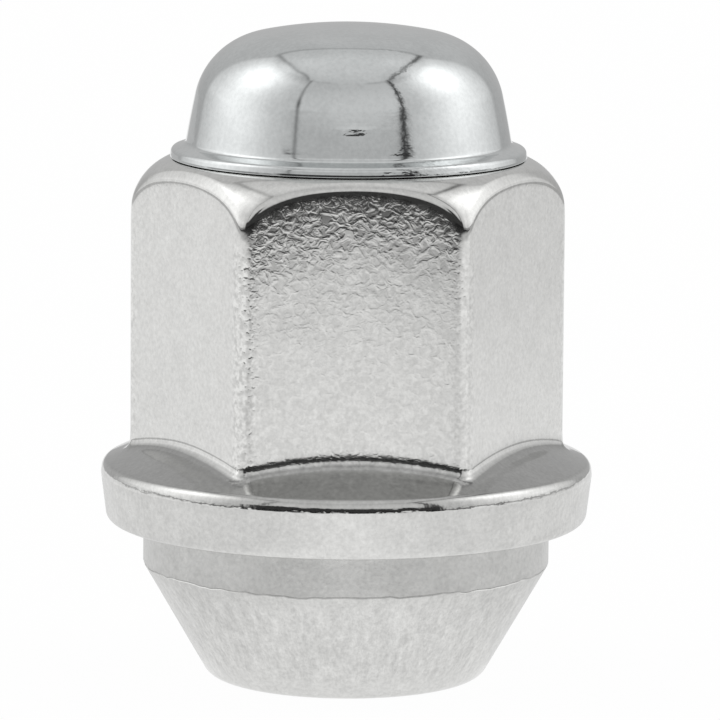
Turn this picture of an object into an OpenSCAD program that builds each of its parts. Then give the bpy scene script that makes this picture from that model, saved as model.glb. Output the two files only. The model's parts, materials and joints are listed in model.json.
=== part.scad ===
// Closed-end wheel lug nut: a forged hex body with a flange and a cone seat,
// and a drawn dome cap welded on its crown. It stands on the small end of the cone,
// with +Z towards the dome and a flat of the hex facing -Y.

/* [Thread] */
// Nominal diameter of the stud that the nut runs on
thread_d = 12; // [10:0.5:14]
// Pitch of the thread
thread_pitch = 1.5; // [1:0.25:2]
// How far the lead-in at the mouth opens past the thread, on the radius
mouth_lead = 0.3; // [0.1:0.1:0.8]
// Chamfer at the inner end of the thread
inner_chamfer = 0.8; // [0.2:0.1:1.5]

/* [Cone seat] */
// Full angle of the cone that centres the nut in the wheel
seat_angle = 60; // [50:5:90]
// Width of the flat ring round the mouth
foot_ring_w = 0.55; // [0.3:0.05:1.2]
// Rounding of the edge between that ring and the cone
foot_round = 1.25; // [0.4:0.05:2]
// How far the collar stands in from the edge of the flange
collar_inset = 2.35; // [1.8:0.05:3.5]
// Height of the plain collar between the cone and the flange
collar_h = 2.4; // [1:0.05:5]

/* [Flange] */
// How far the flange stands out past the corners of the hex
flange_over = 1.48; // [0.8:0.02:3]
// Height of the widest line of the rim above the underside of the flange
rim_h = 2.65; // [1.6:0.05:4]
// Draft of the rim, which narrows downwards
rim_draft = 7; // [0:0.5:12]
// Rounding of the lower edge of the rim
rim_low_round = 0.5; // [0.2:0.05:0.8]
// Rounding of the upper edge of the rim
rim_top_round = 0.75; // [0.4:0.05:1.2]
// Slope of the flange's top, down from the hex to the rim
flange_slope = 28.5; // [10:0.5:40]

/* [Hex] */
// Width of the hex across its flats
hex_af = 21; // [17:0.5:24]
// Rounding of the upright corners
corner_round = 0.8; // [0.3:0.1:2]
// Height of the body above the underside of the flange
hex_h = 20.3; // [14:0.05:35]
// Radius of the rounded crown that cuts the tops of the flats to arches
crown_round = 3.3; // [2:0.1:4.5]
// How far the side of the crown stands in from where sharp corners would be
crown_inset = 0.1; // [0:0.02:0.5]

/* [Cap] */
// Thickness of the sheet that the cap is drawn from
cap_wall = 0.8; // [0.5:0.05:1.2]
// Height of the cap from its seat on the crown to the top of the dome
cap_h = 7.2; // [5.8:0.05:10]
// Width of the ring on which the cap sits on the crown
cap_seat_w = 0.46; // [0.2:0.02:1.2]
// Thickness of the cap's flange, which the weld presses thinner than the sheet
cap_flange_t = 0.5; // [0.35:0.05:0.8]
// How far that flange stands out past the foot of the dome
cap_flange_w = 0.85; // [0.8:0.01:1.5]
// Rounding of the flange's upper edge
cap_edge_round = 0.38; // [0.1:0.02:0.45]
// Lean of the dome's side
dome_taper = 11; // [2:0.5:15]
// Rounding between the dome's side and its top
dome_round = 4.4; // [3:0.1:4.8]
// Rise of the dome's slightly crowned top
dome_crown = 0.42; // [0.1:0.01:0.6]
// Rounding of the corner between the dome and the cap's flange
cap_fillet = 0.2; // [0.1:0.05:0.4]

/* [Hidden] */
$fn = 96;

// Room by which a cutter passes the face that it cuts
overrun = 1;
// Depth of an internal metric thread as a share of its pitch
thread_depth_share = 0.5413;
hex_sides = 6;
hex_step = 360 / hex_sides;

// Radii and heights of the thread's hole
bore_r = thread_d / 2 - thread_depth_share * thread_pitch;
mouth_r = thread_d / 2 + mouth_lead;

// The hex, and the crown that rounds it over, with a flat land in the middle
hex_r = hex_af / 2;
hex_corner_r = hex_r / cos(hex_step / 2);
corner_centre_r = (hex_r - corner_round) / cos(hex_step / 2);
crown_r = hex_corner_r - crown_inset;
land_r = crown_r - crown_round;

// The foot and the cone, from the mouth outwards
half_angle = seat_angle / 2;
foot_centre_r = mouth_r + foot_ring_w;
foot_r = foot_centre_r + foot_round * tan((90 - half_angle) / 2);
flange_r = hex_corner_r + flange_over;
collar_r = flange_r - collar_inset;
cone_h = (collar_r - foot_r) / tan(half_angle);

// Heights of the flange and of the top of the body
flange_z = cone_h + collar_h;
body_top = flange_z + hex_h;

// Centres of the two roundings of the rim, both tangent to its drafted side
rim_top_centre = [flange_r - rim_top_round, flange_z + rim_h];
rim_centre_gap = rim_top_round - rim_low_round - (rim_h - rim_low_round) * sin(rim_draft);
rim_low_centre = [rim_top_centre.x + rim_centre_gap / cos(rim_draft), flange_z + rim_low_round];
rim_side = [cos(rim_draft), -sin(rim_draft)];
slope_normal = [sin(flange_slope), cos(flange_slope)];
slope_start = rim_top_centre + rim_top_round * slope_normal;
slope_end_r = hex_r - corner_round;
slope_end_z = slope_start.y + (slope_start.x - slope_end_r) * tan(flange_slope);

// The cap: its flange, and a dome whose side, shoulder and top run into one another
cap_top = body_top + cap_h;
cap_flange_top = body_top + cap_flange_t;
dome_r = land_r - cap_seat_w + cap_wall / cos(dome_taper) - cap_flange_t * tan(dome_taper);
cap_flange_r = dome_r + cap_flange_w;
shoulder_z = cap_top - dome_crown - dome_round;
shoulder_r = dome_r - dome_round / cos(dome_taper) - (shoulder_z - cap_flange_top) * tan(dome_taper);
shoulder = [shoulder_r, shoulder_z];
shoulder_drop = dome_round + dome_crown;
top_r = (pow(shoulder_r, 2) + pow(shoulder_drop, 2) - pow(dome_round, 2)) / (2 * dome_crown);
top_centre = [0, cap_top - top_r];
top_lean = atan(shoulder_r / (shoulder_z - top_centre.y));
side_normal = [cos(dome_taper), sin(dome_taper)];
top_normal = [sin(top_lean), cos(top_lean)];

// Outline of the hex with its corners rounded
module hex_outline() {
    half_flat = (hex_r - corner_round) * tan(hex_step / 2);
    polygon([
        for (i = [0 : hex_sides - 1], side = [-1, 1])
            let (turn = i * hex_step, along = side * half_flat)
            [hex_r * sin(turn) + along * cos(turn), along * sin(turn) - hex_r * cos(turn)]
    ]);
    for (i = [0 : hex_sides - 1])
        rotate(hex_step / 2 + i * hex_step)
            translate([0, -corner_centre_r])
                circle(r = corner_round);
}

// Section of the solid of revolution that cuts the hex to its crown
module crown_section() {
    square([land_r, body_top]);
    square([crown_r, body_top - crown_round]);
    translate([land_r, body_top - crown_round])
        circle(r = crown_round);
}

// Section of the cone, the collar and the flange
module seat_section() {
    foot_tangent = [foot_centre_r, foot_round] + foot_round * [cos(half_angle), -sin(half_angle)];
    polygon([
        [0, 0],
        [foot_centre_r, 0],
        foot_tangent,
        [collar_r, cone_h],
        [collar_r, flange_z + rim_low_round],
        [0, flange_z + rim_low_round]
    ]);
    translate([foot_centre_r, foot_round])
        circle(r = foot_round);
    polygon([
        [0, flange_z],
        [rim_low_centre.x, flange_z],
        rim_low_centre + rim_low_round * rim_side,
        rim_top_centre + rim_top_round * rim_side,
        slope_start,
        [slope_end_r, slope_end_z],
        [0, slope_end_z]
    ]);
    translate(rim_low_centre)
        circle(r = rim_low_round);
    translate(rim_top_centre)
        circle(r = rim_top_round);
}

// The threaded hole at its minor diameter, with a lead-in at the mouth and a chamfer at the inner end
module thread_hole() {
    translate([0, 0, -overrun])
        cylinder(h = body_top + 2 * overrun, r = bore_r);
    lead_h = mouth_r - bore_r + overrun;
    translate([0, 0, -overrun])
        cylinder(h = lead_h, r1 = mouth_r + overrun, r2 = bore_r);
    translate([0, 0, body_top - inner_chamfer])
        cylinder(h = inner_chamfer + overrun, r1 = bore_r, r2 = bore_r + inner_chamfer + overrun);
}

// The forged nut: rounded hex under a turned crown, on a flange with a cone seat below it
module nut_body() {
    color("silver")
        difference() {
            union() {
                intersection() {
                    translate([0, 0, flange_z])
                        linear_extrude(height = hex_h)
                            hex_outline();
                    rotate_extrude()
                        crown_section();
                }
                rotate_extrude()
                    seat_section();
            }
            thread_hole();
        }
}

// Section of the dome's solid, moved in from the outside by a wall, down to a floor
module dome_section(inset, floor_z) {
    shoulder_round = dome_round - inset;
    foot_x = shoulder.x + shoulder_round / cos(dome_taper) + (shoulder.y - floor_z) * tan(dome_taper);
    polygon([
        [0, floor_z],
        [foot_x, floor_z],
        shoulder + shoulder_round * side_normal,
        shoulder,
        [0, shoulder.y]
    ]);
    intersection() {
        translate(shoulder)
            circle(r = shoulder_round);
        translate([0, floor_z])
            square([foot_x, cap_h]);
    }
    intersection() {
        translate(top_centre)
            circle(r = top_r - inset);
        polygon([
            [0, shoulder.y],
            shoulder,
            shoulder + (dome_round + overrun) * top_normal,
            [0, cap_top + overrun]
        ]);
    }
}

// The concave corner that the draw leaves between the dome's side and the flange
module cap_corner() {
    centre_r = dome_r + cap_fillet / cos(dome_taper) - cap_fillet * tan(dome_taper);
    centre = [centre_r, cap_flange_top + cap_fillet];
    tangent = centre - cap_fillet * side_normal;
    sunk_r = dome_r - cap_wall / 2;
    sunk_z = cap_flange_top - cap_flange_t / 2;
    difference() {
        polygon([[sunk_r, sunk_z], [centre_r, sunk_z], centre, tangent, [sunk_r, tangent.y]]);
        translate(centre)
            circle(r = cap_fillet);
    }
}

// Section of the flange, out from the axis, with its upper edge rounded
module cap_flange_section() {
    translate([0, body_top]) {
        square([cap_flange_r - cap_edge_round, cap_flange_t]);
        square([cap_flange_r, cap_flange_t - cap_edge_round]);
    }
    translate([cap_flange_r - cap_edge_round, cap_flange_top - cap_edge_round])
        intersection() {
            circle(r = cap_edge_round);
            square([cap_edge_round, cap_edge_round]);
        }
}

// The drawn cap: a hollow dome with a thin flange that is welded to the crown
module end_cap() {
    color("gainsboro")
        rotate_extrude()
            difference() {
                union() {
                    dome_section(0, body_top);
                    cap_flange_section();
                    cap_corner();
                }
                dome_section(cap_wall, body_top);
            }
}

nut_body();
end_cap();
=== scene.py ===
import json

import bpy
import numpy as np
from mathutils import Matrix, Vector


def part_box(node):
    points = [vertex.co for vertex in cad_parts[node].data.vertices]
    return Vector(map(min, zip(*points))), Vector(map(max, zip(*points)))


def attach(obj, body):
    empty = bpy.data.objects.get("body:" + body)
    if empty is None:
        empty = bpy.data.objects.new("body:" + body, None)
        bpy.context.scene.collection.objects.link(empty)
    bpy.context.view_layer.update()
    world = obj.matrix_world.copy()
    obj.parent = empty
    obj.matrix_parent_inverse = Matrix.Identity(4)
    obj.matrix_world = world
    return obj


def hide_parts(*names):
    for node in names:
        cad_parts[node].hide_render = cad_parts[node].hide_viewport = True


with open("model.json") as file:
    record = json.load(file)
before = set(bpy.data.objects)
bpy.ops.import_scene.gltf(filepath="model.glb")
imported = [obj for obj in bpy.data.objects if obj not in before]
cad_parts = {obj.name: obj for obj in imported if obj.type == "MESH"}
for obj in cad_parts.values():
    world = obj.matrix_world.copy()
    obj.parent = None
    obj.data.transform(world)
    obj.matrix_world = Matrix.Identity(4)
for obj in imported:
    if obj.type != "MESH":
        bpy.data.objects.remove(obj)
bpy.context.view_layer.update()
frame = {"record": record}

# Nut body
# The nut is forged from one piece of steel: a cone seat, a plain collar, a round flange and a hex whose
# tops are turned over to a rounded crown, and it is tapped right through. Barrel polishing and bright
# plating ease its edges, leave a leathery grain high on the flats and keep the seat's side satin.
MM = 0.001
body_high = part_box("nut_body")[1]
body_top = body_high[2] / MM
flange_r = body_high[0] / MM
mounts = {mount["name"]: mount for mount in frame["record"]["mounts"]}

# Sizes of the hex and its crown; a list has one value for each flat, from the front one towards +X.
hex_sides = 6
hex_r = 10.5
hex_h = 20.3
corner_round = 1.0
crown_round = 3.3
crown_inset = 0.1
crown_fade = 0.6
arch_bands = np.array([0.26, 0.55, 0.5, 0.4, 0.5, 0.55])
arch_rolls = np.array([0.105, 0.006, 0.02, 0.07, 0.02, 0.006])
arch_roll_h = 0.7
arch_roll_ends = (5.9, 5.2)
arch_soft = 0.025
crown_soft = 0.03
root_soft = 0.2

# Sizes of the flange and its rim
flange_z = body_top - hex_h
flange_slope = np.radians(24.5)
rim_h = 2.72
rim_draft = np.radians(7)
rim_low_round = 0.5
rim_top_round = 0.75
rim_edge_lean = np.radians(7)
rim_edge_sink = 0.023
rim_edge_rounds = [0.3, 0.55]
rim_overrun = 0.05

# Sizes of the collar, its uneven lip, the cone and the foot
collar_inset = 2.35
collar_h = 2.4
collar_fillet = 0.22
lip_w = 0.06
lip_rounds = [0.02, 0.02, 0.03]
lip_fade = 0.4
lip_waves = [(5, 0.02, 0.3), (13, 0.02, 1.7), (23, 0.018, 4.1),
             (37, 0.018, 2.2), (52, 0.016, 5.0), (71, 0.014, 0.9)]
cone_half_angle = np.radians(30)
foot_round = 1.0
foot_ring_w = 0.694

# Sizes of the thread and of both its ends
thread_pitch = 1.5
thread_minor = mounts["stud_thread"]["dims"]["r_mm"]
thread_depth_share = 0.5413
thread_flank = np.tan(np.pi / 3)
thread_run_out = 0.4
mouth_lead = 0.3
mouth_edge = 0.1
inner_chamfer = 0.8
land_margin = 0.2

hex_sixth = 2 * np.pi / hex_sides
inner_r = hex_r - corner_round
half_flat = inner_r * np.tan(hex_sixth / 2)
land_r = hex_r / np.cos(hex_sixth / 2) - crown_inset - crown_round
crown_z = body_top - crown_round
collar_r = flange_r - collar_inset
cone_h = flange_z - collar_h
thread_depth = thread_depth_share * thread_pitch
mouth_r = thread_minor + thread_depth + mouth_lead
mouth_z = mouth_r - thread_minor
foot_edge_r = mouth_r + foot_ring_w
thread_end_z = body_top - inner_chamfer


def rounded_path(corners, radii, line_rows, arc_rows):
    """Rows of a section that runs straight from corner to corner, in radius and height.
    Each corner inside the path is replaced by the arc of its radius that both its sides touch:
    the arc starts at radius times the tangent of half the turn before the corner, and its points
    are the arc's centre plus the radius in directions evenly spread over the turn."""
    corners = np.array(corners, float)
    rows = [corners[:1]]
    for index, radius in enumerate(radii, start=1):
        way_in = corners[index] - corners[index - 1]
        way_out = corners[index + 1] - corners[index]
        way_in /= np.linalg.norm(way_in)
        way_out /= np.linalg.norm(way_out)
        turn = np.arctan2(way_in[0] * way_out[1] - way_in[1] * way_out[0], way_in @ way_out)
        reach = radius * np.tan(abs(turn) / 2)
        start = corners[index] - reach * way_in
        side = np.sign(turn) * np.array([-way_in[1], way_in[0]])
        angles = np.linspace(0, abs(turn), arc_rows)[:, None]
        arc = start + radius * (side - np.cos(angles) * side + np.sin(angles) * way_in)
        share = np.linspace(0, 1, line_rows + 1)[1:, None]
        rows.append(rows[-1][-1] + share[:-1] * (arc[0] - rows[-1][-1]))
        rows.append(arc)
    rows.append(rows[-1][-1] + share * (corners[-1] - rows[-1][-1]))
    return np.concatenate(rows)


def flat_fold(turn):
    """The angle from the middle of the nearest flat, from minus a twelfth to plus a twelfth of a turn."""
    return (turn + hex_sixth / 2) % hex_sixth - hex_sixth / 2


def flat_value(values, turn):
    """The value of the nearest flat, out of one for each flat from the front one towards +X."""
    return values[np.round((turn - flat_fold(turn)) / hex_sixth).astype(int) % hex_sides]


def hex_gap(radius, turn):
    """How far a point stands outside the rounded hex: in the sixth of a turn round its nearest flat,
    the distance past the flat, or past the corner's arc where the point lies beyond the flat's end."""
    fold = flat_fold(turn)
    out = radius * np.cos(fold)
    along = np.abs(radius * np.sin(fold))
    past_corner = np.hypot(out - inner_r, along - half_flat) - corner_round
    return np.where(along > half_flat, past_corner, out - hex_r)


def hex_radius(turn):
    """Radius of the rounded hex in a direction: where the ray meets the flat, or the corner's arc."""
    fold = np.abs(flat_fold(turn))
    corner_reach = inner_r / np.cos(hex_sixth / 2)
    off_corner = corner_reach * np.sin(hex_sixth / 2 - fold)
    to_arc = corner_reach * np.cos(hex_sixth / 2 - fold) + np.sqrt(
        np.maximum(corner_round ** 2 - off_corner ** 2, 0))
    return np.where(hex_r * np.tan(fold) > half_flat, to_arc, hex_r / np.cos(fold))


# The rim's side and the flange's slope are both tangent to the rim's upper rounding.
rim_centre = np.array([flange_r - rim_top_round, flange_z + rim_h])
rim_z = rim_centre[1]
side_normal = np.array([np.cos(rim_draft), -np.sin(rim_draft)])
slope_normal = np.array([np.sin(flange_slope), np.cos(flange_slope)])
rim_foot_r = rim_centre[0] + (rim_top_round - rim_h * np.sin(rim_draft)) / np.cos(rim_draft)
slope_start = rim_centre + rim_top_round * slope_normal

# Polishing leaves a narrow upright facet on that rounding, which leans inwards.
edge_normal = np.array([np.cos(rim_edge_lean), np.sin(rim_edge_lean)])
edge_reach = rim_top_round - rim_edge_sink
rim_edge_foot = rim_centre + np.linalg.solve([side_normal, edge_normal], [rim_top_round, edge_reach])
rim_edge_top = rim_centre + np.linalg.solve([edge_normal, slope_normal], [edge_reach, rim_top_round])


def arch_height(radius):
    """Height of the crown's arc at a radius: its centre's height, plus the root of its own radius
    squared less the distance from its centre squared."""
    return crown_z + np.sqrt(crown_round ** 2 - (radius - land_r) ** 2)


def slope_height(radius):
    """Height of the flange's slope at a radius: a straight line up from the rim."""
    return slope_start[1] + (slope_start[0] - radius) * np.tan(flange_slope)


def soft_max(a, b, softness):
    """The larger of two distances, with the crease between them eased: softness times the logarithm
    of the sum of the exponentials of both, each over the softness."""
    return softness * np.logaddexp(a / softness, b / softness)


def ramp(values, start, end):
    """Shares from 0 at the start to 1 at the end, eased at both: three squares less two cubes."""
    u = np.clip((values - start) / (end - start), 0, 1)
    return u * u * (3 - 2 * u)


def bell(values, centre, width):
    """1 at the centre, dying out over the width: the exponential of minus the squared distance in widths."""
    return np.exp(-((values - centre) / width) ** 2)


def upper_gap(radius, height, turn):
    """How far a point stands outside the hex under its crown, joined to the flange's slope. The crown is
    a disc with a round edge: the distance from the middle of the edge less its radius, which fades out
    below. Each flat rolls in by an exponential of the height below its arch. A narrow band cuts off the
    ridge between both: their sum, plus the band's width times the tangent of half the angle there, all
    times the root of a half. The slope is a plane, and the smaller distance counts where it meets the hex."""
    out = radius - land_r
    up = np.maximum(height - crown_z, 0)
    reach = np.maximum(np.hypot(np.maximum(out, 0), up), 1e-6)
    crown = reach + np.minimum(np.maximum(out, height - crown_z), 0) - crown_round
    crown = crown + crown_fade * np.minimum(height - crown_z, 0)
    side = hex_radius(turn)
    middle = ramp(np.abs(side * np.sin(flat_fold(turn))), *arch_roll_ends)
    below = np.minimum(height - arch_height(side), 0)
    roll = flat_value(arch_rolls, turn) * np.exp(below / arch_roll_h)
    flat = hex_gap(radius, turn) + roll * middle
    moved_in = flat_value(arch_bands, turn) * up / (reach + np.maximum(out, 0))
    band = (flat + crown + moved_in) * np.sqrt(0.5)
    body = soft_max(soft_max(flat, band, arch_soft), crown, crown_soft)
    slope = (radius - rim_centre[0]) * slope_normal[0] + (height - rim_z) * slope_normal[1]
    return -soft_max(-body, rim_top_round - slope, root_soft)


# Columns crowd towards the corners of the hex.
sector_columns = 40
corner_crowding = 0.8
share = np.arange(-sector_columns / 2, sector_columns / 2) / (sector_columns / 2)
sector = hex_sixth / 2 * (share + corner_crowding * np.sin(np.pi * share) / np.pi)
turns = (np.arange(hex_sides)[:, None] * hex_sixth + sector).ravel()
columns = len(turns)

lower = rounded_path(
    [(thread_minor, mouth_z), (mouth_r, 0), (foot_edge_r + foot_round * np.tan(cone_half_angle), 0),
     (collar_r - lip_w * np.tan(cone_half_angle), cone_h - lip_w), (collar_r - lip_w, cone_h),
     (collar_r, cone_h + lip_w), (collar_r, flange_z), (rim_foot_r, flange_z), rim_edge_foot, rim_edge_top,
     slope_start + rim_overrun * (slope_start - rim_edge_top)],
    [mouth_edge, foot_round, *lip_rounds, collar_fillet, rim_low_round, *rim_edge_rounds],
    line_rows=6, arc_rows=9)


def crowded(count, pull):
    """Shares from 0 to 1 that crowd towards 1: one minus a power of what is left."""
    return 1 - (1 - np.linspace(0, 1, count)) ** pull


# Rows crowd towards the root of the hex and towards its arches, from both sides.
slope_count, flat_count, crown_count = 13, 46, 22
row_pull = 1.6
end_crowding = 0.75
hex_side = hex_radius(turns)
root_z = slope_height(hex_side)
arch_z = arch_height(hex_side)
arch_angle = np.arctan2(arch_z - crown_z, hex_side - land_r)

slope_share = crowded(slope_count, row_pull)[1:, None]
slope_r = slope_start[0] + slope_share * (hex_side - slope_start[0])
slope_rows = np.stack([slope_r, slope_height(slope_r)], axis=-1)

even = np.linspace(0, 1, flat_count)[1:, None]
flat_share = end_crowding * (0.5 - 0.5 * np.cos(np.pi * even)) + (1 - end_crowding) * even
flat_z = root_z + flat_share * (arch_z - root_z)
flat_rows = np.stack([np.broadcast_to(hex_side, flat_z.shape), flat_z], axis=-1)

crown_share = (1 - crowded(crown_count, row_pull)[::-1])[1:, None]
crown_turn = arch_angle + crown_share * (np.pi / 2 - arch_angle)
crown_rows = np.stack([land_r + crown_round * np.cos(crown_turn),
                       crown_z + crown_round * np.sin(crown_turn)], axis=-1)
upper = np.concatenate([slope_rows, flat_rows, crown_rows])

# Each point is moved straight onto the blended surface in its own upright plane, by Newton's steps.
newton_steps = 12
probe = 1e-5
least_pull = 0.2
for _ in range(newton_steps):
    radius, height = upper[..., 0], upper[..., 1]
    gap = upper_gap(radius, height, turns)
    wider, narrower = upper_gap(radius + probe, height, turns), upper_gap(radius - probe, height, turns)
    higher, lower_down = upper_gap(radius, height + probe, turns), upper_gap(radius, height - probe, turns)
    pull_r = (wider - narrower) / (2 * probe)
    pull_z = (higher - lower_down) / (2 * probe)
    push = gap / np.maximum(pull_r ** 2 + pull_z ** 2, least_pull)
    upper = upper - np.stack([push * pull_r, push * pull_z], axis=-1)

top_rows = rounded_path(
    [(land_r - land_margin, body_top), (thread_minor + inner_chamfer, body_top),
     (thread_minor, thread_end_z)],
    [mouth_edge], line_rows=4, arc_rows=5)

# The thread's groove is a triangle wave along the height, moved on by one pitch in a turn and cut off flat
# at its crest and root; it runs out to nothing at both ends.
thread_rows = 150
thread_z = np.linspace(thread_end_z, mouth_z, thread_rows + 2)[1:-1, None]
phase = (thread_z / thread_pitch - turns / (2 * np.pi)) % 1
from_crest = (0.5 - np.abs(phase - 0.5)) * thread_pitch - thread_pitch / 8
groove = np.clip(from_crest * thread_flank, 0, thread_depth)
run_out = np.clip(np.minimum(thread_z - mouth_z, thread_end_z - thread_z) / thread_run_out, 0, 1)
thread_r = thread_minor + groove * run_out
thread = np.stack([thread_r, np.broadcast_to(thread_z, thread_r.shape)], axis=-1)


def all_round(rows):
    """A section repeated in every direction of the nut."""
    return np.broadcast_to(rows[:, None, :], (len(rows), columns, 2))


def ripple(turn, waves):
    """A fixed unevenness round the nut: the sum of sines, each with its count of waves, size and start."""
    return sum(size * np.sin(count * turn + start) for count, size, start in waves)


# The lip at the collar's foot is left uneven by the tool that turned the cone.
section = np.concatenate([all_round(lower), upper, all_round(top_rows), thread])
section_r, section_z = section[..., 0], section[..., 1]
lip_line = ripple(turns, lip_waves)
at_lip = bell(section_z, cone_h, lip_fade) * (section_r > foot_edge_r)
section_z = section_z + at_lip * lip_line


def turned_mesh(name, radius, height, turns, closed):
    """A surface of rows and columns: point (row, column) stands at its radius in the column's direction,
    counted from -Y towards +X, at its height. Faces join each row to the next. A closed section joins
    its last row to its first; an open one ends in a pole at each end, on the axis."""
    rows, count = radius.shape
    points = np.stack([radius * np.sin(turns), -radius * np.cos(turns), height], axis=-1).reshape(-1, 3) * MM
    index = np.arange(rows * count).reshape(rows, count)
    below = index if closed else index[:-1]
    above = np.roll(index, -1, axis=0) if closed else index[1:]
    quads = np.stack([below, np.roll(below, -1, axis=1), np.roll(above, -1, axis=1), above], axis=-1)
    faces = quads.reshape(-1, 4).tolist()
    if not closed:
        poles = [(0, 0, height[0, 0] * MM), (0, 0, height[-1, 0] * MM)]
        first, last = rows * count, rows * count + 1
        ahead = np.roll(index, -1, axis=1)
        faces += np.stack([np.full(count, first), ahead[0], index[0]], axis=-1).tolist()
        faces += np.stack([index[-1], ahead[-1], np.full(count, last)], axis=-1).tolist()
        points = np.concatenate([points, poles])
    mesh = bpy.data.meshes.new(name)
    mesh.from_pydata(points, [], faces)
    mesh.shade_smooth()
    piece = bpy.data.objects.new(name, mesh)
    bpy.context.collection.objects.link(piece)
    return piece


def keep_values(piece, name, values):
    """Stores one number for each point of a piece, for its material to read."""
    stored = np.zeros(len(piece.data.vertices), np.float32)
    stored[:values.size] = values.ravel()
    piece.data.attributes.new(name, "FLOAT", "POINT").data.foreach_set("value", stored)


nut = turned_mesh("nut_body_surface", section_r, section_z, turns, closed=True)

# Satin: the seat's side, from the foot's edge up to the rim's upper rounding.
satin_start = (0.1, 0.9)
satin_fade = 0.3
seat_side = (section_r > foot_edge_r) & (section_z < rim_z + rim_top_round)
satin = seat_side * ramp(section_z, *satin_start) * ramp(section_z, rim_z, rim_z - satin_fade)
keep_values(nut, "satin", satin)

# Streak: the cone alone, which was turned after forging.
streak_start = (0.4, 1.2)
streak_fade = 0.1
streak = seat_side * ramp(section_z, *streak_start) * ramp(section_z - lip_line, cone_h, cone_h - streak_fade)
keep_values(nut, "streak", streak)

# Painted light and shade in the plating's colour: the rim's side is painted brightest, as a brighter
# reflection, then the cone and the hex. Painted shade darkens the collar under the flange, the rim's upper
# edge and most the flange's slope up to the root of the hex; a painted dark line of shade lies at the
# collar's lip.
collar_reach = 0.3
collar_start = (-0.02, 0.05)
lip_shade_h = 0.05
slope_r_margin = 0.2
slope_rise = (0.45, 0.62)
root_fade = (0.3, 0.1)
edge_rise = (0.05, 0.2)
edge_end = (1.2, 0.9)
plain_tone = 1.03
above_lip = section_z - cone_h - lip_line
by_collar = seat_side * (section_r < collar_r + collar_reach)
# Painted shade on the collar, where it lies under the flange's overhang.
collar_painted_shade = by_collar * ramp(above_lip, *collar_start)
# A painted dark line of shade in the crease at the collar's lip.
lip_painted_shade = by_collar * bell(above_lip, 0, lip_shade_h)
# Painted shade on the flange's slope, deepest at the root of the hex.
below_root = ramp(section_z - root_z, *root_fade)
above_seat = (1 - seat_side) * (section_r > hex_r - slope_r_margin) * below_root
above_rim = (section_r > hex_r) * ramp(section_z - rim_z, *slope_rise)
slope_painted_shade = np.maximum(above_seat, above_rim) * below_root
# Painted shade on the rim's upper edge.
rim_edge_painted_shade = (section_r > hex_r) * ramp(section_z - rim_edge_foot[1], *edge_rise) * (1 - slope_painted_shade)
rim_edge_painted_shade = rim_edge_painted_shade * ramp(section_z - rim_z, *edge_end)
# Painted light and shade, each over its share: a painted brighter reflection on the seat's side, less on the
# cone, and painted shade on the collar, the lip, the slope and the rim's upper edge.
painted_light_and_shade_changes = [(0.1, satin), (-0.07, streak), (-0.21, collar_painted_shade), (-0.3, lip_painted_shade), (-0.37, slope_painted_shade),
                (-0.12, rim_edge_painted_shade)]
tone = plain_tone + sum(change * place_share for change, place_share in painted_light_and_shade_changes)
keep_values(nut, "tone", tone)

# Edge: the polished rounding of the rim, which is left uneven.
worn_z = rim_edge_foot[1] + 0.15
worn_h = 0.3
worn_margin = 0.1
edge = (section_r > rim_foot_r - worn_margin) * bell(section_z, worn_z, worn_h)
keep_values(nut, "edge", edge)

# Grain: strongest below the arch of each flat and dying out downwards, lower on its left than its right, with
# a little more along its foot. The flat that faces forward has the most of it.
flat_grains = np.array([1, 0.1, 0.4, 0.8, 0.4, 0.1])
grain_least = 0.16
grain_reach = 2.4
grain_power = 2.2
grain_tilt = 0.05
foot_grain = 0.2
foot_grain_z = 0.35
foot_grain_h = 0.3
grain_start = (0.3, 0.7)
grain_ends = (5.8, 5.2)
hex_margin = 0.6
hex_foot_h = 1
along = hex_r * np.tan(flat_fold(turns))
below_arch = arch_z - section_z
on_hex = (section_r > hex_r - hex_margin) & (section_z > rim_z + hex_foot_h)
grain_depth = np.maximum(below_arch, 0) * (1 + grain_tilt * along)
grain = grain_least + (1 - grain_least) * np.exp(-(grain_depth / grain_reach) ** grain_power)
grain = grain + foot_grain * bell(section_z - root_z, foot_grain_z, foot_grain_h)
grain = on_hex * flat_value(flat_grains, turns) * grain
grain = grain * ramp(np.abs(along), *grain_ends) * ramp(below_arch, *grain_start)
keep_values(nut, "grain", grain)

# Corner: a band of small pits down each upright corner, most on the left one of the front flat.
corner_pits = np.array([0.5, 0.5, 0.5, 0.5, 0.5, 1])
corner_band = (4.9, 5.6)
corner_start = (0.5, 2.5)
nearest_corner = np.floor(turns / hex_sixth).astype(int) % hex_sides
corner = on_hex * corner_pits[nearest_corner] * ramp(np.abs(along), *corner_band)
corner = corner * ramp(below_arch, *corner_start)
keep_values(nut, "corner", corner)


def add_node(tree, kind, inputs=None, **settings):
    """One node with its settings, each input either set to a number or linked from another node's output."""
    node = tree.nodes.new(kind)
    for name, value in settings.items():
        setattr(node, name, value)
    for name, value in (inputs or {}).items():
        if isinstance(value, bpy.types.NodeSocket):
            tree.links.new(value, node.inputs[name])
        else:
            node.inputs[name].default_value = value
    return node


def add_math(tree, operation, *values):
    """One sum on numbers or on other nodes' outputs."""
    return add_node(tree, "ShaderNodeMath", dict(enumerate(values)), operation=operation).outputs[0]


def add_vector(tree, operation, *values):
    """One sum on vectors or on other nodes' outputs."""
    return add_node(tree, "ShaderNodeVectorMath", dict(enumerate(values)), operation=operation).outputs[0]


def add_noise(tree, place, scale, detail, roughness=0.5, distortion=0):
    """Noise round one half: the scale counts its waves along one unit of the place, and the detail adds
    finer ones."""
    inputs = {"Vector": place, "Scale": scale, "Detail": detail, "Roughness": roughness,
              "Distortion": distortion}
    return add_node(tree, "ShaderNodeTexNoise", inputs).outputs["Fac"]


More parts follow.
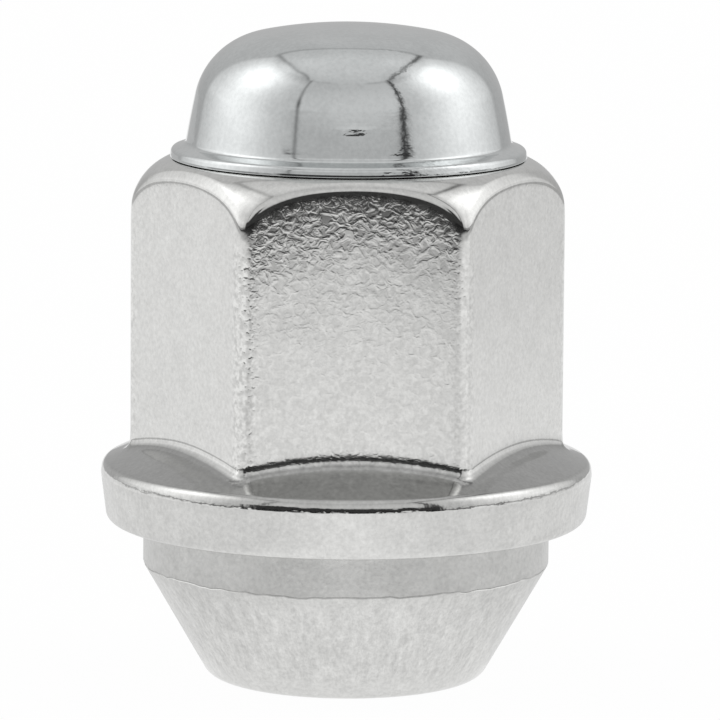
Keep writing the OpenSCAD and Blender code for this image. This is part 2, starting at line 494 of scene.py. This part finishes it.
def add_range(tree, value, low, high, start=0, end=1, ease="LINEAR"):
    """From the low number where the value is at the start to the high one where it is at the end."""
    inputs = {"Value": value, "From Min": start, "From Max": end, "To Min": low, "To Max": high}
    return add_node(tree, "ShaderNodeMapRange", inputs, interpolation_type=ease).outputs[0]


def add_colours(tree, value, places, colours):
    """The blend from one colour to another between two places of a value."""
    node = add_node(tree, "ShaderNodeValToRGB", {"Fac": value})
    for element, place, colour in zip(node.color_ramp.elements, places, colours):
        element.position = place
        element.color = (*colour, 1)
    return node.outputs["Color"]


def add_bump(tree, height, depth, under=None):
    """Relief of a height from 0 to 1 over a depth in metres, on top of the relief under it."""
    inputs = {"Height": height, "Distance": depth}
    if under:
        inputs["Normal"] = under
    return add_node(tree, "ShaderNodeBump", inputs).outputs["Normal"]


body_plating = bpy.data.materials.new("body_plating")
body_plating.use_nodes = True
tree = body_plating.node_tree
shader = tree.nodes["Principled BSDF"]
shader.inputs["Metallic"].default_value = 1

place = add_node(tree, "ShaderNodeTexCoord").outputs["Object"]
satin_share, streak_share, painted_light_and_shade_share, grain_share, corner_share, edge_share = (
    add_node(tree, "ShaderNodeAttribute", attribute_name=name).outputs["Fac"]
    for name in ("satin", "streak", "tone", "grain", "corner", "edge"))

# Streaks run up the cone: noise on the direction from the axis, with the height counted less.
streak_height = 50
bearing_place = add_vector(tree, "NORMALIZE", add_vector(tree, "MULTIPLY", place, (1, 1, 0)))
height_place = add_vector(tree, "MULTIPLY", place, (0, 0, streak_height))
streak_place = add_vector(tree, "ADD", bearing_place, height_place)
streaks = add_noise(tree, streak_place, scale=16, detail=7, roughness=0.85)
cloud = add_noise(tree, place, scale=700, detail=6, roughness=0.75)
speck = add_noise(tree, place, scale=4200, detail=2, roughness=0.6)
pits = add_noise(tree, place, scale=3900, detail=1)

# Flakes: the leathery grain, noise cut to plateaus and hollows
hide_place = add_node(tree, "ShaderNodeMapping", {"Vector": place, "Scale": (1.15, 1.15, 1.25)}).outputs[0]
hide = add_noise(tree, hide_place, scale=1900, detail=2, roughness=0.55, distortion=0.8)
flakes = add_range(tree, hide, 0, 1, start=0.4, end=0.66)

# Mottle: fine specks everywhere, clouds that are strongest on the satin rim and collar, streaks in place of
# them on the cone, the flakes of the grain and the pits of the corners
patchy = add_node(tree, "ShaderNodeMix", {0: streak_share, 2: cloud, 3: streaks}).outputs[0]
patch_size = add_range(tree, satin_share, 0.35, 0.65)
patch_size = add_math(tree, "MULTIPLY_ADD", streak_share, 0.85, patch_size)
flake_size = add_math(tree, "MULTIPLY", grain_share, 1.1)
pit_size = add_math(tree, "MULTIPLY", corner_share, 1.6)
mottle = add_math(tree, "MULTIPLY_ADD", speck, 0.55, 0.225)
for texture, size in ((patchy, patch_size), (flakes, flake_size), (pits, pit_size)):
    off_middle = add_math(tree, "SUBTRACT", texture, 0.5)
    mottle = add_math(tree, "MULTIPLY_ADD", off_middle, size, mottle)
dulled = add_colours(tree, mottle, (0.25, 0.75), ((0.541, 0.541, 0.531), (0.771, 0.771, 0.757)))
# The mottled colour times the painted light and shade.
tree.links.new(add_vector(tree, "MULTIPLY", dulled, painted_light_and_shade_share), shader.inputs["Base Color"])

# Roughness: polished but for the satin and the grain, and a little cloudy
rough = add_range(tree, satin_share, 0.07, 0.26)
rough = add_math(tree, "MULTIPLY_ADD", grain_share, 0.13, rough)
haze = add_range(tree, cloud, -0.04, 0.04)
tree.links.new(add_math(tree, "ADD", rough, haze), shader.inputs["Roughness"])

# Relief: slow waves everywhere, the grain's flakes, the corners' pits, the rim's worn edge and satin specks
waves = add_noise(tree, place, scale=330, detail=1)
pit_holes = add_range(tree, pits, 0, 1, start=0.46, end=0.74)
worn = add_noise(tree, place, scale=900, detail=3)
normal = add_bump(tree, waves, 0.00002)
for texture, place_share, depth in ((flakes, grain_share, 0.000012), (pit_holes, corner_share, -0.000005),
                                    (worn, edge_share, 0.00005), (speck, satin_share, 0.00001)):
    normal = add_bump(tree, add_math(tree, "MULTIPLY", texture, place_share), depth, normal)
tree.links.new(normal, shader.inputs["Normal"])

nut.data.materials.append(body_plating)
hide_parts("nut_body")
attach(nut, "root")

# End cap
# A dome is deep drawn from thin steel sheet, with a narrow flange that is pressed down and welded on the
# crown. The draw leaves faint ripples round its side, and the bright plating shows every one of them.
cap_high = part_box("end_cap")[1]
cap_top = cap_high[2] / MM
cap_flange_r = cap_high[0] / MM
cap_wall = 0.8
cap_flange_t = 0.63
cap_flange_w = 0.85
cap_seam = 0.045
cap_foot_h = 0.14
cap_foot_lean = np.radians(5.3)
cap_edge_h = 0.34
cap_edge_lean = np.radians(10.7)
cap_edge_round = 0.3
cap_edge_mid_round = 0.4
cap_edge_low = 0.05
cap_edge_low_round = 0.9 * cap_edge_low
cap_inner_bevel = 0.05
cap_fillet = 0.3
dome_bulge = 0.013
dome_taper = np.radians(11)
dome_round = 4.4
dome_crown = 0.42

# Counts of rows up the section, and of columns round it
shoulder_rows = 40
dome_top_rows = 20
under_rows = 16
side_rows = 14
cap_columns = 240

dome_r = cap_flange_r - cap_flange_w
cap_flange_top = body_top + cap_flange_t
shoulder_z = cap_top - dome_crown - dome_round
shoulder_r = dome_r - dome_round / np.cos(dome_taper) - (shoulder_z - cap_flange_top) * np.tan(dome_taper)
drop = dome_round + dome_crown
top_r = (shoulder_r ** 2 + drop ** 2 - dome_round ** 2) / (2 * dome_crown)
top_lean = np.arctan2(shoulder_r, shoulder_z - cap_top + top_r)


def dome_rows(inset, foot_z):
    """The foot and the skin of the dome, moved in by an inset: a leaning side that meets a shoulder arc,
    which runs into a crowned top whose arc shares its direction and stops short of the axis."""
    shoulder = dome_round - inset
    angles = np.linspace(dome_taper, np.pi / 2 - top_lean, shoulder_rows)
    arc = np.stack([shoulder_r + shoulder * np.cos(angles), shoulder_z + shoulder * np.sin(angles)], axis=-1)
    lean = top_lean * np.linspace(1, 0, dome_top_rows)[1:-1]
    arch = top_r - inset
    top = np.stack([arch * np.sin(lean), cap_top - top_r + arch * np.cos(lean)], axis=-1)
    foot_r = shoulder_r + shoulder / np.cos(dome_taper) + (shoulder_z - foot_z) * np.tan(dome_taper)
    return np.array([foot_r, foot_z]), np.concatenate([arc, top])


outer_foot, outer = dome_rows(0, cap_flange_top)
inner_foot, inner = dome_rows(cap_wall, body_top)

# The flange lies on the land and then follows the crown down, a hair's breadth above it.
under_r = np.linspace(inner_foot[0] + cap_inner_bevel, cap_flange_r - cap_edge_low, under_rows)
crown_drop = crown_round - np.sqrt(crown_round ** 2 - np.maximum(under_r - land_r, 0) ** 2)
under_z = body_top - np.maximum(crown_drop - cap_seam, 0)
edge_low = np.array([cap_flange_r, under_z[-1]])
edge_mid = edge_low + cap_foot_h * np.array([-np.tan(cap_foot_lean), 1])
edge_top = edge_mid + cap_edge_h * np.array([-np.tan(cap_edge_lean), 1])
brim = rounded_path(
    [(under_r[-1], under_z[-1]), edge_low, edge_mid, edge_top, outer_foot, outer[0]],
    [cap_edge_low_round, cap_edge_mid_round, cap_edge_round, cap_fillet], line_rows=side_rows, arc_rows=13)

# The dome's side swells a little between the flange and the shoulder: a parabola over its rows.
up_side = np.linspace(0, 1, side_rows + 1)
brim[-len(up_side):, 0] += dome_bulge * 4 * up_side * (1 - up_side)

wall_foot = [inner[0] * 0.5 + inner_foot * 0.5, inner_foot + [0, cap_inner_bevel]]
cap_section = np.concatenate([
    inner[::-1], wall_foot, np.stack([under_r, under_z], axis=-1), brim[1:-1], outer])
cap_turns = np.arange(cap_columns) * 2 * np.pi / cap_columns
cap_r = np.broadcast_to(cap_section[:, :1], (len(cap_section), cap_columns))
cap_z = np.broadcast_to(cap_section[:, 1:], (len(cap_section), cap_columns))
cap = turned_mesh("end_cap_surface", cap_r, cap_z, cap_turns, closed=False)

# Dents: faint ripples all over the outside, a small patch low on the front of the dome, a strip right of it,
# and the edge of the flange, most on its right, where the weld has spattered.
ripples = 0.022
off_front = (cap_turns + np.pi) % (2 * np.pi) - np.pi
above_land = cap_z - body_top
outside = np.arange(len(cap_section))[:, None] > len(inner) + len(wall_foot) + under_rows
patch = 0.65 * bell(off_front, centre=0, width=0.08) * bell(above_land, centre=2.3, width=0.16)
strip = 0.22 * bell(off_front, centre=0.36, width=0.12) * ramp(above_land, start=0.6, end=1.2)
spatter = 0.03 + 0.77 * bell(off_front, centre=0.5, width=0.35)
spatter = spatter * ramp(above_land, start=0.7, end=0.5)
keep_values(cap, "dents", outside * (ripples + patch + strip + spatter))

cap_plating = bpy.data.materials.new("cap_plating")
cap_plating.use_nodes = True
tree = cap_plating.node_tree
shader = tree.nodes["Principled BSDF"]
shader.inputs["Metallic"].default_value = 1
place = add_node(tree, "ShaderNodeTexCoord").outputs["Object"]
cloud = add_noise(tree, place, scale=420, detail=4, roughness=0.6)
speck = add_noise(tree, place, scale=4600, detail=1)
sandy = add_math(tree, "MULTIPLY_ADD", speck, 0.8, cloud)
sandy = add_math(tree, "SUBTRACT", sandy, 0.4)
dulled = add_colours(tree, sandy, (0.3, 0.7), ((0.601, 0.618, 0.619), (0.679, 0.698, 0.699)))
tree.links.new(dulled, shader.inputs["Base Color"])
tree.links.new(add_range(tree, cloud, 0.02, 0.07), shader.inputs["Roughness"])

drawn_place = add_node(tree, "ShaderNodeMapping", {"Vector": place, "Scale": (1, 1, 1.8)}).outputs[0]
drawn = add_noise(tree, drawn_place, scale=1700, detail=2)
dent_share = add_node(tree, "ShaderNodeAttribute", attribute_name="dents").outputs["Fac"]
dent_normal = add_bump(tree, add_math(tree, "MULTIPLY", drawn, dent_share), 0.00004)
tree.links.new(dent_normal, shader.inputs["Normal"])

cap.data.materials.append(cap_plating)
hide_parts("end_cap")
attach(cap, "root")

# Camera
# It looks at the nut from 8.8 degrees above and 2.1 degrees to the left of the front flat, from 335 mm.
view_azimuth = np.radians(-2.147)
view_elevation = np.radians(8.814)
view_roll = np.radians(0.421)
view_distance = 0.335
pixels_per_mm = 18.083
image_width = 720
nut_centre_pixel = (347.21, 356.62)
nut_centre = Vector((0, 0, 0.0178))

camera_data = bpy.data.cameras.new("camera")
camera = bpy.data.objects.new("camera", camera_data)
bpy.context.collection.objects.link(camera)
backwards = Vector((np.sin(view_azimuth) * np.cos(view_elevation),
                    -np.cos(view_azimuth) * np.cos(view_elevation), np.sin(view_elevation)))
upright = backwards.to_track_quat("Z", "Y").to_matrix()
turned = upright @ Matrix.Rotation(view_roll, 3, "Z")
right, up = turned.col[0], turned.col[1]
off_x = (image_width / 2 - nut_centre_pixel[0]) / pixels_per_mm * MM
off_y = (nut_centre_pixel[1] - image_width / 2) / pixels_per_mm * MM
camera.matrix_world = Matrix.Translation(
    nut_centre + right * off_x + up * off_y + backwards * view_distance) @ turned.to_4x4()
camera_data.sensor_width = 36
camera_data.lens = camera_data.sensor_width * pixels_per_mm * view_distance / MM / image_width
camera_data.clip_start = 0.01
bpy.context.scene.camera = camera

# Floor
# A round patch of white paper under the nut runs on behind it, on a grey table that ends in the dark in
# front. It keeps a faint shadow, the metal shows it a little less white than the camera does, and it is
# clear from below, so that the seat can be seen.
paper_reach = 3.0
table_grey = 0.58
seen_by_metal = 0.86
seen_by_camera = 0.97
floor_mesh = bpy.data.meshes.new("floor")
floor_mesh.from_pydata(
    [(-paper_reach, -paper_reach, 0), (paper_reach, -paper_reach, 0),
     (paper_reach, paper_reach, 0), (-paper_reach, paper_reach, 0)], [], [(0, 1, 2, 3)])
floor = bpy.data.objects.new("floor", floor_mesh)
bpy.context.collection.objects.link(floor)

paper = bpy.data.materials.new("floor_paper")
paper.use_nodes = True
tree = paper.node_tree
tree.nodes.remove(tree.nodes["Principled BSDF"])
place = add_node(tree, "ShaderNodeTexCoord").outputs["Object"]
spot = add_node(tree, "ShaderNodeSeparateXYZ", {0: place}).outputs
from_nut = add_node(tree, "ShaderNodeVectorMath", {0: place}, operation="LENGTH").outputs["Value"]
aside = add_math(tree, "ABSOLUTE", spot["X"])


def fade(value, start, end, low=0, high=1):
    """From the low number at the start to the high one at the end, eased at both."""
    return add_range(tree, value, low, high, start, end, "SMOOTHSTEP")


def combine(operation, first, second):
    """One sum of the paper's brightness."""
    return add_math(tree, operation, first, second)


# The strip of paper behind the nut, and the patch round it, on the table
strip_length = combine("MULTIPLY", fade(spot["Y"], 0, 0.02), fade(spot["Y"], 0.56, 0.44))
paper_behind = combine("MULTIPLY", fade(aside, 0.105, 0.07), strip_length)
paper_share = combine("MAXIMUM", fade(from_nut, 0.34, 0.22), paper_behind)
white = fade(paper_share, 0, 1, table_grey, 1)

# It darkens towards the front in two steps, and a little on the far right.
white = combine("MULTIPLY", white, fade(spot["Y"], -0.245, -0.135, 0.56, 1))
white = combine("MULTIPLY", white, fade(spot["Y"], -0.285, -0.235, 0.1, 1))
far_right = combine("MULTIPLY", fade(spot["X"], 0.06, 0.16, 0, 0.14), fade(spot["Y"], -0.04, 0.01))
white = combine("MULTIPLY", white, combine("SUBTRACT", 1, far_right))
matt = add_node(tree, "ShaderNodeBsdfDiffuse", {"Color": white})
path = add_node(tree, "ShaderNodeLightPath").outputs

# The metal also shows the shade that the nut's own sides throw beside it.
shade = combine("MULTIPLY", fade(aside, 0.005, 0.018, 0, 0.16), fade(aside, 0.085, 0.045))
shade = combine("MULTIPLY", shade, path["Is Glossy Ray"])
lit = add_node(tree, "ShaderNodeEmission", {"Color": white, "Strength": combine("SUBTRACT", 1, shade)})
seen = combine("MAXIMUM", path["Is Glossy Ray"], path["Is Transmission Ray"])
seen = combine("MULTIPLY", seen, seen_by_metal)
seen = combine("MAXIMUM", seen, combine("MULTIPLY", path["Is Camera Ray"], seen_by_camera))
face = add_node(tree, "ShaderNodeMixShader", {0: seen, 1: matt.outputs[0], 2: lit.outputs[0]}).outputs[0]
clear = add_node(tree, "ShaderNodeBsdfTransparent").outputs[0]
under = add_node(tree, "ShaderNodeNewGeometry").outputs["Backfacing"]
whole = add_node(tree, "ShaderNodeMixShader", {0: under, 1: face, 2: clear}).outputs[0]
tree.links.new(whole, tree.nodes["Material Output"].inputs["Surface"])
floor.data.materials.append(paper)

# Studio light
# A tent: a white wall on each side of the nut, with one lamp behind it, in a plain grey room. A dark seam
# runs up the front edge of each wall and along the walls' tops, and the tent is open to the dark in front.
world = bpy.data.worlds.new("studio")
bpy.context.scene.world = world
world.use_nodes = True
sky = world.node_tree


def work_out(operation, *values):
    """One sum of the studio's light, on numbers or on other sums."""
    return add_math(sky, operation, *values)


def product(first, *others):
    """All the values times one another."""
    for other in others:
        first = work_out("MULTIPLY", first, other)
    return first


def between(value, start, end):
    """0 at the start, 1 at the end, eased at both."""
    return add_range(sky, value, 0, 1, start, end, "SMOOTHSTEP")


def hump(value, centre, width):
    """1 at the centre, dying out over the width: the exponential of minus the squared distance in widths."""
    off = work_out("DIVIDE", work_out("SUBTRACT", value, centre), width)
    return work_out("EXPONENT", product(off, off, -1))


def towards(start, end, share):
    """Start plus the share times the way from start to end."""
    return work_out("MULTIPLY_ADD", share, work_out("SUBTRACT", end, start), start)


def dimmed(light, share):
    """Light with a share of it taken away."""
    return product(light, work_out("SUBTRACT", 1, share))


# Directions in degrees: the bearing from the front towards +X, the elevation, and the turn to either side of
# the camera
camera_bearing = -2.1
direction = add_node(sky, "ShaderNodeTexCoord").outputs["Generated"]
axes = add_node(sky, "ShaderNodeSeparateXYZ", {0: direction}).outputs
bearing = work_out("DEGREES", work_out("ARCTAN2", axes["X"], product(axes["Y"], -1)))
elevation = work_out("DEGREES", work_out("ARCSINE", axes["Z"]))
beside = work_out("ABSOLUTE", work_out("SUBTRACT", bearing, camera_bearing))
on_right = work_out("GREATER_THAN", bearing, camera_bearing)

# The walls' tops run level beside the nut and bend down in front of it and behind it, to a lowest line.
wall_height = 64.3
level_start, level_end = 70, 95
front_bend, back_bend = -0.012, -0.005
past_level = work_out("MAXIMUM", work_out("SUBTRACT", beside, level_end), 0)
before_level = work_out("MAXIMUM", work_out("SUBTRACT", level_start, beside), 0)
wall_top = work_out("MULTIPLY_ADD", product(past_level, past_level), back_bend, wall_height)
wall_top = work_out("MULTIPLY_ADD", product(before_level, before_level), front_bend, wall_top)
lowest_top = towards(58, 52.5, between(beside, 60, 120))
over_top = work_out("SUBTRACT", elevation, work_out("MAXIMUM", wall_top, lowest_top))

# The room in front of the nut and behind it, and the canopy over the walls
low_ahead = towards(0.6, 0.755, between(elevation, 14.5, 18.5))
room_ahead = towards(low_ahead, 0.64, between(elevation, 28, 58))
room_behind = towards(0.5, 0.62, between(elevation, -4, 36))
canopy = product(hump(beside, 118, 28), towards(0.1, 0, between(elevation, 68, 82)))
canopy = work_out("ADD", canopy, towards(0.68, 0.79, between(elevation, 56, 80)))

# Each wall is brightest beside the nut, where its lamp stands, and ends behind it in a straight edge.
wall = work_out("MULTIPLY_ADD", hump(beside, 97, 33), 0.72, 0.62)
lamp = product(hump(beside, 98, 22), hump(elevation, 42, 13), 0.6)
wall = product(work_out("ADD", wall, lamp), towards(1, 0.72, between(elevation, 50, 60)))
wall = product(wall, towards(0.86, 1, between(elevation, 4, 12)))
light = towards(room_ahead, wall, between(beside, 38, 50))
light = towards(light, room_behind, between(beside, 133.5, 140))
light = towards(light, canopy, between(over_top, -1.5, 2.5))

# The front seams lean back as they rise, and the right one is the wider and darker.
seam_lean = 0.0016
seam_place = towards(39, 40.5, on_right)
seam_place = work_out("MULTIPLY_ADD", product(elevation, elevation), seam_lean, seam_place)
right_width = towards(3.8, 2.2, between(elevation, 15, 26))
left_share = work_out("MULTIPLY_ADD", hump(elevation, 25, 7), 0.33, 0.42)
seam = hump(beside, seam_place, towards(1.7, right_width, on_right))
seam = product(seam, towards(left_share, 0.88, on_right), between(elevation, 62, 56))

# The seam along the right wall's top is the darker one too, and both are fainter in front and behind.
top_share = towards(0.36, towards(0.6, 0.75, between(beside, 110, 132)), on_right)
top_share = towards(top_share, 0.25, between(beside, 142, 150))
top_share = product(top_share, towards(0.3, 1, between(beside, 44, 54)))
top_seam = product(hump(over_top, 0, 1.5), top_share, between(beside, 14, 24))
light = dimmed(dimmed(light, seam), top_seam)

# Low in front it is dark, and a shade lies along the foot of the walls.
dark_front = product(between(elevation, 12.2, 11.4), between(beside, 50, 42))
light = towards(light, 0.05, dark_front)
foot_shade = product(between(elevation, 2.8, 2.0), towards(0.6, 0, between(beside, 98, 108)))
light = dimmed(light, foot_shade)
sky.links.new(light, sky.nodes["Background"].inputs["Color"])

bpy.context.scene.view_settings.view_transform = "Standard"
